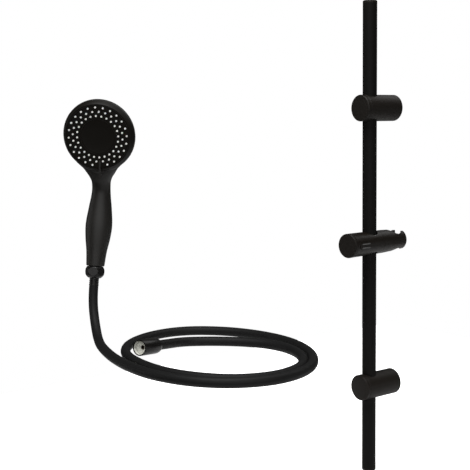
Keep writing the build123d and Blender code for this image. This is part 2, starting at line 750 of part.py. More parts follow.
# Handset nut, washer, tail and ferrule, stacked down from the end of the handle
nut_top = -MOVE_GAP
nut_bottom = nut_top - NUT_LENGTH
washer_top = -INLET_LENGTH
flange_top = washer_top - WASHER_THICK
flange_bottom = flange_top - TAIL_FLANGE
ferrule_bottom = nut_bottom - FERRULE_LENGTH

with BuildPart() as handset_nut:
    with BuildSketch(half_section(HANDSET)):
        with BuildLine():
            ThreePointArc(
                (NUT_TOP_R, nut_top), (NUT_R, (nut_top + nut_bottom) / 2), (NUT_BOTTOM_R, nut_bottom)
            )
            Polyline((NUT_BOTTOM_R, nut_bottom), (0, nut_bottom), (0, nut_top), (NUT_TOP_R, nut_top))
        make_face()
    revolve(axis=turning_axis(HANDSET))
    with BuildSketch(HANDSET.offset(nut_bottom)):
        RegularPolygon(NUT_FLAT, 6, major_radius=False)
    extrude(amount=NUT_LENGTH, mode=Mode.INTERSECT)
    with BuildSketch(HANDSET.offset(flange_bottom)):
        Circle(INLET_D / 2 + FIT_GAP)
    extrude(amount=nut_top - flange_bottom, mode=Mode.SUBTRACT)
    with BuildSketch(HANDSET.offset(nut_bottom)):
        Circle(TAIL_STEM_R + FIT_GAP)
    extrude(amount=flange_bottom - nut_bottom, mode=Mode.SUBTRACT)
handset_nut.part.label = "handset_nut"
export_step(handset_nut.part, "parts/handset_nut.step")

with BuildPart() as inlet_washer:
    with BuildSketch(HANDSET.offset(washer_top)):
        Circle(TAIL_FLANGE_R)
        Circle(WASHER_BORE_D / 2, mode=Mode.SUBTRACT)
    extrude(amount=-WASHER_THICK)
inlet_washer.part.label = "inlet_washer"
export_step(inlet_washer.part, "parts/inlet_washer.step")

with BuildPart() as handset_tail:
    with BuildSketch(HANDSET.offset(flange_top)):
        Circle(TAIL_FLANGE_R)
    extrude(amount=-TAIL_FLANGE)
    with BuildSketch(HANDSET.offset(flange_bottom)):
        Circle(TAIL_STEM_R)
    extrude(amount=ferrule_bottom - flange_bottom)
    with BuildSketch(HANDSET.offset(flange_top)):
        Circle(WASHER_BORE_D / 2)
    extrude(amount=ferrule_bottom - flange_top, mode=Mode.SUBTRACT)
handset_tail.part.label = "handset_tail"
export_step(handset_tail.part, "parts/handset_tail.step")

with BuildPart() as handset_ferrule:
    with BuildSketch(HANDSET.offset(nut_bottom)):
        Circle(FERRULE_R)
        Circle(TAIL_STEM_R + PRESS_GAP, mode=Mode.SUBTRACT)
    extrude(amount=-FERRULE_LENGTH)
    chamfer(handset_ferrule.edges().filter_by(GeomType.CIRCLE).sort_by(SortBy.RADIUS)[-2:], SEAM_CHAMFER)
handset_ferrule.part.label = "handset_ferrule"
export_step(handset_ferrule.part, "parts/handset_ferrule.step")

# Hose: from the ferrule down to the floor, two turns, and straight into the free nut
hose_start = HANDSET.offset(ferrule_bottom).origin
hose_first = HANDSET.offset(ferrule_bottom - HOSE_FIRST_RUN).origin
hose_points = [hose_start, hose_first] + [Vector(*point) for point in HOSE_ROUTE]
hose_runs = [after - before for before, after in zip(hose_points, hose_points[1:])]
hose_radii = []
for before, after in zip(hose_runs, hose_runs[1:]):
    turn = radians(before.get_angle(after))
    hose_radii.append(HOSE_ARC * min(before.length, after.length) / tan(turn / 2))

with BuildPart() as hose:
    with BuildLine() as hose_path:
        FilletPolyline(*hose_points, radius=hose_radii)
    with BuildSketch(Plane(origin=hose_start, z_dir=hose_path.line % 0)):
        Circle(HOSE_D / 2)
    sweep(path=hose_path.line)
hose.part.label = "hose"
export_step(hose.part, "parts/hose.step")

hose_length = hose_path.wire().length
print("hose radii", [round(r) for r in hose_radii])
print("hose length", round(hose_length, 1))
print("hose volume over section times length", hose.part.volume / (pi * (HOSE_D / 2) ** 2 * hose_length))

# Free end: the nut's frame has its origin where the hose ends and Z towards the open mouth
HOSE_END = Plane(origin=hose_points[-1], z_dir=hose_runs[-1])
liner_floor = END_LENGTH - LINER_DEPTH
end_washer_floor = liner_floor - FIT_GAP - WASHER_THICK
end_flange_floor = end_washer_floor - TAIL_FLANGE

with BuildPart() as end_nut:
    with BuildSketch(half_section(HOSE_END)):
        with BuildLine():
            Line((END_NECK_R, 0), (END_SLEEVE_R + FIT_GAP, 0))
            Polyline(
                (END_SLEEVE_R + FIT_GAP, 0),
                (END_SLEEVE_R + FIT_GAP, end_flange_floor - FIT_GAP),
                (END_FLANGE_R + MOVE_GAP, end_flange_floor - FIT_GAP),
                (END_FLANGE_R + MOVE_GAP, liner_floor),
                (LINER_R + PRESS_GAP, liner_floor),
                (LINER_R + PRESS_GAP, END_LENGTH),
                (END_R - END_CHAMFER / 2, END_LENGTH),
                (END_R, END_LENGTH - END_CHAMFER),
                (END_R, END_SHOULDER),
            )
            EllipticalCenterArc(
                (END_NECK_R, END_SHOULDER), END_R - END_NECK_R, END_SHOULDER, start_angle=270, arc_size=90
            )
        make_face()
    revolve(axis=turning_axis(HOSE_END))
end_nut.part.label = "end_nut"
export_step(end_nut.part, "parts/end_nut.step")

with BuildPart() as end_liner:
    with BuildSketch(HOSE_END.offset(liner_floor)):
        Circle(LINER_R)
        Circle(LINER_THREAD_R, mode=Mode.SUBTRACT)
    extrude(amount=LINER_DEPTH - END_CHAMFER)
end_liner.part.label = "end_liner"
export_step(end_liner.part, "parts/end_liner.step")

with BuildPart() as end_washer:
    with BuildSketch(HOSE_END.offset(end_washer_floor)):
        Circle(END_FLANGE_R)
        Circle(END_WASHER_BORE_D / 2, mode=Mode.SUBTRACT)
    extrude(amount=WASHER_THICK)
end_washer.part.label = "end_washer"
export_step(end_washer.part, "parts/end_washer.step")

with BuildPart() as end_tail:
    with BuildSketch(HOSE_END.offset(end_flange_floor)):
        Circle(END_FLANGE_R)
    extrude(amount=TAIL_FLANGE)
    with BuildSketch(HOSE_END):
        Circle(END_SLEEVE_R)
    extrude(amount=end_flange_floor)
    with BuildSketch(HOSE_END):
        Circle(WASHER_BORE_D / 2)
    extrude(amount=end_washer_floor, mode=Mode.SUBTRACT)
end_tail.part.label = "end_tail"
export_step(end_tail.part, "parts/end_tail.step")
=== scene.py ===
from math import asin, cos, pi, radians, sin

import bmesh
import bpy
from bpy.props import FloatProperty, FloatVectorProperty, IntProperty, PointerProperty
from bpy.types import NodeSocket, Operator, Panel, PropertyGroup
from mathutils import Matrix, Vector


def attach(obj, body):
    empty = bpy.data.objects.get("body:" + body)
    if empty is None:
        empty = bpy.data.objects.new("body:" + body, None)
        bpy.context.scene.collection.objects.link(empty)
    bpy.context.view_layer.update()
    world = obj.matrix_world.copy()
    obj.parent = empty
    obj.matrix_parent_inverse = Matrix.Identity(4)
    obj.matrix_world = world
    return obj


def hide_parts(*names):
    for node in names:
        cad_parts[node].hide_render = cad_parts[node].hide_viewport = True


bl_info = {
    "name": "Shower Rail Set",
    "version": (1, 0, 0),
    "blender": (4, 5, 0),
    "location": "View3D > Sidebar > Shower",
    "description": "Dresses a shower rail set: rail, posts, slider, handset, hose and a plain studio",
    "category": "Add Mesh",
}

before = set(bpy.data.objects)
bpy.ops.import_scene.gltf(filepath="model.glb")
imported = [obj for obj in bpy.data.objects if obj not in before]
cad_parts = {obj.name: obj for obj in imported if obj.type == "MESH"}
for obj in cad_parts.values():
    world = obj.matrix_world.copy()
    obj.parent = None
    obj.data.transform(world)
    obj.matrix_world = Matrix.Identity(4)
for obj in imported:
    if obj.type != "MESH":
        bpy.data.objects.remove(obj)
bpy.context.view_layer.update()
MM = 0.001


def linear(code):
    """Turns an sRGB hex colour to the linear numbers that a shader takes."""
    parts = [int(code[i : i + 2], 16) / 255 for i in (1, 3, 5)]
    return tuple(c / 12.92 if c <= 0.04045 else ((c + 0.055) / 1.055) ** 2.4 for c in parts)


def at(*millimetres):
    return Vector(millimetres) * MM


# Places of the handset and its head, as the CAD model has them
HANDSET = (
    Matrix.Translation(at(-309.5, -324.1, -32.1))
    @ Matrix.Rotation(radians(50.5), 4, "Z")
    @ Matrix.Rotation(radians(-9.25), 4, "X")
    @ Matrix.Rotation(radians(4.3), 4, "Y")
)
HEAD = HANDSET @ Matrix.Translation(at(0, -52.9, 190.7)) @ Matrix.Rotation(radians(109.4), 4, "X")

# Turn of the slider about the rail, in degrees
SLIDER_TURN = 5.0

# Handle sections: up the handle, forward, width, depth, in millimetres
HANDLE_SECTIONS = (
    (0.8, 0.0, 27.5, 27.5),
    (23.0, -1.0, 31.4, 30.5),
    (43.0, -2.5, 37.8, 35.5),
    (64.0, -3.5, 40.6, 37.6),
    (90.0, -4.0, 35.0, 33.0),
    (112.0, -2.5, 29.0, 28.0),
)
# Neck sections: below the head's centre, behind the face, width, depth
NECK_SECTIONS = ((75.0, 26.0, 29.0, 27.0), (66.0, 23.0, 35.0, 26.5), (59.0, 20.7, 43.5, 25.3))
# Head, in millimetres from the middle of its face: the opening, the sloping rim and the part under the neck
OPENING_R = 47.0
RIM_R = 54.0
RIM_BACK = -7.7
NECK_INNER_R = 34.2
NECK_HALF_ANGLE = 40.0
# Round edge behind the rim, and the dome of the back with its centre in front of the face
EDGE_R, EDGE_MIDDLE = 8, (46.44, -11.64)
DOME_R, DOME_MIDDLE = 99.25, 67.25
# Nozzle rings: radius, count, first angle, span
NOZZLE_RINGS = ((31.02, 24, 5.0, 360.0), (37.41, 24, 12.5, 360.0), (43.62, 23, 290.0, 345.0))

# Route of the hose from below the ferrule to the free nut, in millimetres
HOSE_ROUTE = (
    (-283.7, -340.4, -118.5),
    (-250.5, -352.5, -137.0),
    (-199.0, -369.2, -137.0),
    (-146.5, -381.3, -137.0),
    (-92.7, -386.0, -137.0),
    (-43.0, -382.0, -137.0),
    (11.0, -361.0, -137.0),
    (54.0, -320.0, -137.0),
    (73.0, -264.0, -137.0),
    (58.0, -207.0, -137.0),
    (17.0, -164.0, -137.0),
    (-35.0, -138.0, -137.0),
    (-92.0, -129.0, -137.0),
    (-150.0, -138.0, -137.0),
    (-202.0, -164.0, -137.0),
    (-242.0, -209.0, -137.0),
    (-246.0, -266.0, -137.0),
    (-217.0, -322.5, -137.0),
    (-168.4, -356.0, -137.0),
    (-111.2, -367.4, -137.0),
    (-56.0, -366.0, -137.0),
    (-3.0, -348.0, -137.0),
    (41.0, -313.0, -137.0),
    (59.0, -261.0, -137.0),
    (45.0, -210.0, -137.0),
    (8.0, -175.0, -137.0),
    (-38.3, -157.5, -137.0),
    (-83.7, -161.0, -137.0),
    (-121.8, -182.6, -137.0),
    (-152.5, -213.0, -137.0),
    (-173.5, -254.0, -135.5),
    (-156.9, -294.9, -130.2),
    (-148.3, -313.85, -127.5),
)
# First run of the hose under the ferrule, in millimetres
FIRST_RUN = 24.0
# Ferrule, from the handset's inlet, and the free nut's liner, from the end of the hose, in millimetres
FERRULE_TOP, FERRULE_BOTTOM, FERRULE_R = -18.3, -29.8, 7.3
LINER_FLOOR, LINER_LIP = 36.5, 42.4

# Studio, in metres and degrees: the floor's middle and reach, the spot that the lamps face, the camera
FLOOR_MIDDLE = at(-60, 60, -326)
FLOOR_REACH = 0.65
LAMP_AIM = at(-180, -220, 0)
CAMERA_AT = (0.9818, -0.9856, 0.1830)
CAMERA_YAW, CAMERA_PITCH, CAMERA_ROLL = 54.396, 6.776, -0.802
# Focal length and width of the picture, in pixels
FOCAL_PIXELS, FRAME_PIXELS = 950, 470


def colour_property(name, code, description):
    return FloatVectorProperty(
        name=name, description=description, subtype="COLOR", size=3, min=0, max=1, default=linear(code)
    )


class FinishColours(PropertyGroup):
    """Colours of the finishes"""

    rail: colour_property("Rail", "#090807", "Powder coat of the rail")
    moulding: colour_property("Mouldings", "#0e0a06", "Posts, slider and holder")
    handset: colour_property("Handset", "#0b0906", "Shell and face of the handset")
    nut: colour_property("Nuts", "#0a0908", "Nuts and ferrule of the hose")
    hose: colour_property("Hose", "#0c0c0c", "Skin of the hose")
    silicone: colour_property("Nozzles", "#eceae5", "Soft nozzles")
    liner: colour_property("Liner", "#bcbcb4", "Inside of the free nut")


class HandsetSizes(PropertyGroup):
    """Sizes of the handset's details"""

    nozzle: FloatProperty(
        name="Nozzle", description="Diameter of a nozzle at its foot", default=3.0 * MM, unit="LENGTH"
    )
    nozzle_proud: FloatProperty(
        name="Nozzle height", description="Height over the face", default=1.0 * MM, unit="LENGTH"
    )
    dish: FloatProperty(
        name="Dish", description="Depth of the hollow in the centre disc", default=0.6 * MM, unit="LENGTH"
    )


class HoseSizes(PropertyGroup):
    """Sizes of the hose and its ends"""

    diameter: FloatProperty(
        name="Diameter", description="Outside of the hose", default=14.0 * MM, unit="LENGTH"
    )
    crimps: IntProperty(name="Crimps", description="Crimped grooves in the ferrule", default=3, min=0)
    thread_pitch: FloatProperty(
        name="Thread pitch", description="Pitch of the half-inch thread", default=1.814 * MM, unit="LENGTH"
    )


class StudioLight(PropertyGroup):
    """Lamps and the light of the room"""

    key: FloatProperty(name="Key", description="Lamp high in front", default=34.0, unit="POWER")
    front: FloatProperty(name="Front", description="Soft box at the camera", default=26.0, unit="POWER")
    side: FloatProperty(name="Side", description="Low lamp at the far left", default=3.5, unit="POWER")
    top: FloatProperty(name="Top", description="Lamp overhead", default=14.0, unit="POWER")
    back: FloatProperty(name="Back", description="Lamp high behind the set", default=9.0, unit="POWER")
    rim: FloatProperty(name="Rim", description="Low lamp at the right, behind", default=1.8, unit="POWER")
    fill: FloatProperty(name="Fill", description="Level of the room's light", default=0.1, min=0, max=1)


class ShowerSettings(PropertyGroup):
    """All settings of the shower rail set"""

    colours: PointerProperty(type=FinishColours)
    handset: PointerProperty(type=HandsetSizes)
    hose: PointerProperty(type=HoseSizes)
    light: PointerProperty(type=StudioLight)


def settings():
    return bpy.context.scene.shower


def colours():
    return settings().colours


# Materials


def add_node(tree, kind, settings=None, inputs=None):
    """Adds a node with its settings; an input is a number or the socket that feeds it."""
    made = tree.nodes.new(kind)
    for key, value in (settings or {}).items():
        setattr(made, key, value)
    for key, value in (inputs or {}).items():
        if isinstance(value, NodeSocket):
            tree.links.new(value, made.inputs[key])
        else:
            made.inputs[key].default_value = value
    return made


def surface(name, colour, roughness, grain_mm, relief_mm, sockets=None):
    """One finish: its colour, a grain in relief and a gloss that varies a little over the piece."""
    if name in bpy.data.materials:
        return bpy.data.materials[name]
    material = bpy.data.materials.new(name)
    material.use_nodes = True
    tree = material.node_tree
    shader = tree.nodes["Principled BSDF"]
    shader.inputs["Base Color"].default_value = (*colour, 1.0)
    for key, value in (sockets or {}).items():
        shader.inputs[key].default_value = value
    where = add_node(tree, "ShaderNodeTexCoord").outputs["Object"]
    grain = add_node(
        tree,
        "ShaderNodeTexNoise",
        inputs={"Vector": where, "Scale": 1 / (grain_mm * MM), "Detail": 3.0, "Roughness": 0.55},
    )
    relief = add_node(
        tree,
        "ShaderNodeBump",
        inputs={"Height": grain.outputs[0], "Distance": relief_mm * MM, "Strength": 0.6},
    )
    tree.links.new(relief.outputs["Normal"], shader.inputs["Normal"])
    cloud = add_node(
        tree, "ShaderNodeTexNoise", inputs={"Vector": where, "Scale": 1 / (30 * MM), "Detail": 2.0}
    )
    gloss = add_node(
        tree,
        "ShaderNodeMapRange",
        inputs={"Value": cloud.outputs[0], "To Min": roughness - 0.04, "To Max": roughness + 0.04},
    )
    tree.links.new(gloss.outputs["Result"], shader.inputs["Roughness"])
    return material


def powder_coat():
    # Steel tube, powder coated: a matt black with a soft orange-peel ripple about 2 mm wide
    return surface("Powder-coated steel", colours().rail, 0.6, 2.0, 0.02, {"Specular IOR Level": 0.08})


def grained_abs():
    # ABS moulded in a spark-eroded tool: even matt black. Its grit of 0.2 mm wouldn't show, so it is 0.8
    return surface(
        "Moulded ABS, spark grain", colours().moulding, 0.55, 0.8, 0.02, {"Specular IOR Level": 0.16}
    )


def satin_abs():
    # ABS moulded in a stoned tool: a satin that catches the light along edges and round sides
    return surface(
        "Moulded ABS, satin", colours().moulding, 0.42, 0.8, 0.01, {"Specular IOR Level": 0.17}
    )


def rib_highlight_abs():
    # Painted highlight: the tops of the grip ribs get a paler colour with more gloss, so that they draw two
    # light lines on the dull button
    return surface(
        "Moulded ABS, painted rib highlight", linear("#1c1a17"), 0.3, 0.8, 0.005, {"Specular IOR Level": 0.9}
    )


def handset_abs():
    # ABS with a soft matt lacquer: broad even highlights. The fine grit is drawn at 0.8 mm to show
    return surface("Lacquered ABS", colours().handset, 0.5, 0.8, 0.01, {"Specular IOR Level": 0.3})


def face_abs():
    # ABS of the spray face and the rim round it, as moulded: deeper black than the lacquered shell
    return surface("Moulded ABS, face", colours().handset, 0.5, 0.8, 0.01, {"Specular IOR Level": 0.1})


def coated_brass():
    # Turned brass under a satin black coat: a little more gloss than the mouldings
    return surface("Satin-coated brass", colours().nut, 0.3, 1.2, 0.01, {"Specular IOR Level": 0.2})


def hose_skin():
    # Extruded PVC: smooth and nearly matt, so that the light runs along it in long soft streaks
    return surface("Extruded PVC", colours().hose, 0.58, 3.0, 0.02, {"Specular IOR Level": 0.13})


def silicone():
    # Moulded silicone: white, soft and slightly see-through
    return surface(
        "Moulded silicone", colours().silicone, 0.55, 0.6, 0.01, {"Subsurface Weight": 0.1, "IOR": 1.41}
    )


def liner_abs():
    # Plain moulded ABS without paint: pale warm grey and dull
    return surface("Plain ABS", colours().liner, 0.55, 0.8, 0.01)


def nitrile():
    # Moulded nitrile rubber: black and dull
    return surface("Moulded nitrile", linear("#181818"), 0.7, 0.6, 0.01, {"IOR": 1.52})


def acetal():
    # Moulded acetal: grey, waxy and smooth
    return surface("Moulded acetal", linear("#6e6e70"), 0.35, 1.0, 0.005, {"IOR": 1.48})


def inner_plastic():
    # Natural moulded acetal of the water parts, which the face hides
    return surface("Natural acetal", linear("#d9d8d2"), 0.4, 1.0, 0.005, {"IOR": 1.48})


def drawn_steel():
    # Drawn stainless wire and turned screws: bright, with a fine even grain
    return surface("Drawn stainless steel", linear("#c4c5c6"), 0.3, 0.8, 0.005, {"Metallic": 1.0})


def turned_brass():
    # Turned brass of the hose tails: yellow, with a faint even grain
    return surface("Turned brass", linear("#d8bf86"), 0.3, 0.8, 0.008, {"Metallic": 1.0})


# Pieces


def piece_from(bm, name, material, body, nodes, crease=35.0):
    """Makes a finished piece from a bmesh, smooth with crisp edges, that stands for the CAD nodes."""
    mesh = bpy.data.meshes.new(name)
    bm.to_mesh(mesh)
    bm.free()
    mesh.materials.append(material)
    mesh.shade_smooth()
    mesh.set_sharp_from_angle(angle=radians(crease))
    piece = bpy.data.objects.new(name, mesh)
    bpy.context.scene.collection.objects.link(piece)
    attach(piece, body)
    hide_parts(*nodes)
    return piece


def rounded(piece, width_mm, angle):
    """Breaks a piece's sharp edges, as a moulding or a coat does."""
    edges = piece.modifiers.new("Broken edges", "BEVEL")
    edges.width = width_mm * MM
    edges.segments = 3
    edges.profile = 0.5
    edges.limit_method = "ANGLE"
    edges.angle_limit = radians(angle)
    edges.harden_normals = True
    return piece


def from_solid(node, body, material, edge_mm, crease=35.0):
    """A finished piece from a CAD node: its own form with broken edges."""
    bm = bmesh.new()
    bm.from_mesh(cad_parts[node].data)
    bmesh.ops.remove_doubles(bm, verts=bm.verts, dist=0.002 * MM)
    bmesh.ops.dissolve_limit(bm, angle_limit=radians(0.6), verts=bm.verts, edges=bm.edges)
    piece = piece_from(bm, node + "_finished", material, body, [node], crease)
    return rounded(piece, edge_mm, crease + 2)


def second_finish(piece, material, chosen):
    """Gives the faces whose centres pass a test a second finish."""
    piece.data.materials.append(material)
    for face in piece.data.polygons:
        if chosen(face.center):
            face.material_index = 1


def turned(bm, section, place, steps=64):
    """Turns a section of (radius, height) in millimetres about the Z axis of a place."""
    verts = [bm.verts.new(place @ at(radius, 0, height)) for radius, height in section]
    edges = [bm.edges.new(pair) for pair in zip(verts, verts[1:])]
    bmesh.ops.spin(
        bm,
        geom=verts + edges,
        cent=place.to_translation(),
        axis=place.to_3x3() @ Vector((0, 0, 1)),
        angle=2 * pi,
        steps=steps,
        use_merge=True,
        use_normal_flip=False,
    )
    bmesh.ops.remove_doubles(bm, verts=bm.verts, dist=0.002 * MM)


def flow(places, cuts):
    """Puts places between the given ones on smooth curves, so that their rings flow into each other."""
    along = [0.0]
    for before, after in zip(places, places[1:]):
        along.append(along[-1] + (after.translation - before.translation).length)
    last = len(places) - 1
    slopes = []
    for i in range(last + 1):
        low, high = max(i - 1, 0), min(i + 1, last)
        slopes.append((places[high] - places[low]) * (1 / (along[high] - along[low])))
    flowing = []
    for i in range(last):
        run = along[i + 1] - along[i]
        for k in range(cuts + 1):
            t = k / (cuts + 1)
            rise = t * t * (3 - 2 * t)
            between = places[i] * (1 - rise) + places[i + 1] * rise
            leaving = slopes[i] * (run * t * (1 - t) ** 2)
            arriving = slopes[i + 1] * (run * t * t * (1 - t))
            flowing.append(between + leaving - arriving)
    return flowing + [places[last]]


def on_rim(spot):
    """Tells whether a spot in the head's frame, in millimetres, lies on the rim round the face."""
    return spot.z > RIM_BACK and OPENING_R < spot.xy.length < RIM_R


def close_normals(bm):
    bmesh.ops.recalc_face_normals(bm, faces=bm.faces)


def hose_end_place():
    """The free end: its origin where the hose stops and its Z axis out of the mouth."""
    end = at(*HOSE_ROUTE[-1])
    out = end - at(*HOSE_ROUTE[-2])
    return Matrix.Translation(end) @ out.to_track_quat("Z", "Y").to_matrix().to_4x4()


class SHOWER_OT_rail(Operator):
    """Finish the rail with its caps and the two wall posts"""

    bl_idname = "shower.rail"
    bl_label = "Rail and Posts"

    def execute(self, context):
        from_solid("rail_tube", "rail_set", powder_coat(), 0.2)
        for node in ("rail_top_cap", "rail_bottom_cap"):
            from_solid(node, "rail_set", grained_abs(), 0.2)
        for level in ("upper", "lower"):
            from_solid(level + "_post", "rail_set", grained_abs(), 0.5)
            from_solid(level + "_post_cap", "rail_set", grained_abs(), 0.5)
        return {"FINISHED"}


class SHOWER_OT_slider(Operator):
    """Finish the slider with its button, holder and glide bushes"""

    bl_idname = "shower.slider"
    bl_label = "Slider and Holder"

    def execute(self, context):
        from_solid("slider_body", "slider", satin_abs(), 0.5)
        from_solid("slider_end_cap", "slider", grained_abs(), 0.4)
        button = from_solid("release_button", "release_button", satin_abs(), 0.2)
        # The tops of the grip ribs stand furthest out; they get a painted highlight, a paler and glossier
        # finish
        outward = Matrix.Rotation(radians(SLIDER_TURN), 3, "Z") @ Vector((1, 0, 0))
        reach = max(outward.dot(vert.co) for vert in button.data.vertices)
        second_finish(button, rib_highlight_abs(), lambda spot: outward.dot(spot) > reach - 0.3 * MM)
        from_solid("holder", "holder", satin_abs(), 0.5)
        for level in ("upper", "lower"):
            from_solid(level + "_glide_bush", "glide", acetal(), 0.2)
        return {"FINISHED"}


class SHOWER_OT_handset(Operator):
    """Model the handset's shell: handle, neck and head in one flowing form"""

    bl_idname = "shower.handset"
    bl_label = "Handset Shell"

    def execute(self, context):
        bm = bmesh.new()
        places = [
            HANDSET
            @ Matrix.Translation(at(0, -forward, up))
            @ Matrix.Diagonal((width / 2, depth / 2, 1, 1))
            for up, forward, width, depth in HANDLE_SECTIONS
        ]
        places += [
            HEAD
            @ Matrix.Translation(at(0, -below, -behind))
            @ Matrix.Rotation(radians(-90), 4, "X")
            @ Matrix.Diagonal((width / 2, depth / 2, 1, 1))
            for below, behind, width, depth in NECK_SECTIONS
        ]
        # Spigot of the inlet and the foot of the handle: height and radius
        inlet = [
            HANDSET @ Matrix.Translation(at(0, 0, up)) @ Matrix.Diagonal((radius, radius, 1, 1))
            for up, radius in ((-10.5, 10.1), (0.0, 10.1), (0.0, 13.0))
        ]
        rings = []
        for place in inlet + flow(places, cuts=5):
            ring = bmesh.ops.create_circle(bm, segments=48, radius=MM, matrix=place)["verts"]
            rings.append({edge for vert in ring for edge in vert.link_edges})
        bmesh.ops.contextual_create(bm, geom=list(rings[0]))
        for lower, upper in zip(rings, rings[1:]):
            bmesh.ops.bridge_loops(bm, edges=list(lower | upper))
        top = list(rings[-1])

        # Section of the head: the recess for the face with the rim round it, the round edge and the dome
        middle_r, middle_z = EDGE_MIDDLE
        angles = (0.225, -0.07, -0.366, -0.662, -0.958)
        edge_round = [(middle_r + EDGE_R * cos(a), middle_z + EDGE_R * sin(a)) for a in angles]
        steps_in = (46, 40, 34, 27, 20, 13, 6, 0)
        dome = [(r, DOME_MIDDLE - (DOME_R**2 - r * r) ** 0.5) for r in steps_in]
        front = [(0, -12), (47.3, -12), (47.3, -0.5), (47.6, 0), (48.7, 0), (49.3, -0.5), (51.4, -4.2)]
        before = set(bm.verts)
        turned(bm, front + [(53.38, -7.67)] + edge_round + dome, HEAD, steps=72)
        head = [vert for vert in bm.verts if vert not in before]

        # The head is opened under the neck, and its edge there is bridged to the neck's last ring
        into_head = HEAD.inverted()
        opened = []
        for face in {face for vert in head for face in vert.link_faces}:
            x, y, z = (into_head @ face.calc_center_median()) / MM
            radius = (x * x + y * y) ** 0.5
            under_neck = y < 0 and abs(asin(x / radius)) < radians(NECK_HALF_ANGLE)
            if under_neck and z < RIM_BACK and radius > NECK_INNER_R:
                opened.append(face)
        edges = {edge for face in opened for edge in face.edges}
        border = [edge for edge in edges if any(face not in opened for face in edge.link_faces)]
        bmesh.ops.delete(bm, geom=opened, context="FACES")
        border = [edge for edge in border if edge.is_valid]
        made = bmesh.ops.bridge_loops(bm, edges=border + top)
        bmesh.ops.subdivide_edgering(
            bm, edges=made["edges"], interp_mode="SURFACE", smooth=1.0, cuts=7, profile_shape="LINEAR"
        )
        close_normals(bm)
        shell = piece_from(
            bm, "handset_shell_finished", handset_abs(), "rail_set", ["handset_shell"]
        )
        second_finish(shell, face_abs(), lambda spot: on_rim(into_head @ spot / MM))
        return {"FINISHED"}


class SHOWER_OT_spray_face(Operator):
    """Model the turning face with its nozzles and centre disc"""

    bl_idname = "shower.spray_face"
    bl_label = "Spray Face"

    def execute(self, context):
        sizes = settings().handset
        face = from_solid("spray_face", "spray_selector", face_abs(), 0.35)
        # The selector fin stands over the face and has the shell's lacquer
        into_head = HEAD.inverted()
        second_finish(face, handset_abs(), lambda spot: (into_head @ spot).z > 0.4 * MM)

        bm = bmesh.new()
        for radius, count, start, span in NOZZLE_RINGS:
            for i in range(count):
                angle = radians(start + span * i / count)
                spot = at(radius * cos(angle), radius * sin(angle), 0)
                spot.z = sizes.nozzle_proud - 2 * MM
                bmesh.ops.create_cone(
                    bm,
                    cap_ends=True,
                    segments=12,
                    radius1=sizes.nozzle / 2,
                    radius2=sizes.nozzle / 2 - 0.25 * MM,
                    depth=4 * MM,
                    matrix=HEAD @ Matrix.Translation(spot),
                )
        # Each tip has its outlet, and the sheet of the mat lies behind the face
        facing = HEAD.to_3x3() @ Vector((0, 0, 1))
        bm.normal_update()
        tips = [face for face in bm.faces if face.normal.dot(facing) > 0.99]
        bmesh.ops.inset_individual(bm, faces=tips, thickness=0.55 * MM)
        bmesh.ops.inset_individual(bm, faces=tips, thickness=0.1 * MM, depth=-0.6 * MM)
        turned(bm, [(2.1, -7), (45, -7), (45, -5), (2.1, -5), (2.1, -7)], HEAD)
        close_normals(bm)
        piece_from(bm, "nozzles", silicone(), "spray_selector", ["nozzle_mat"])

        dish = sizes.dish / MM
        section = [(0, -2.5), (25.9, -2.5), (25.9, -0.4), (25.6, 0), (24.6, 0), (23.6, -0.3 * dish)]
        section += [(12, -0.8 * dish), (0, -dish)]
        bm = bmesh.new()
        turned(bm, section, HEAD, steps=96)
        close_normals(bm)
        piece_from(bm, "centre_disc", face_abs(), "spray_selector", ["centre_insert"])
        return {"FINISHED"}


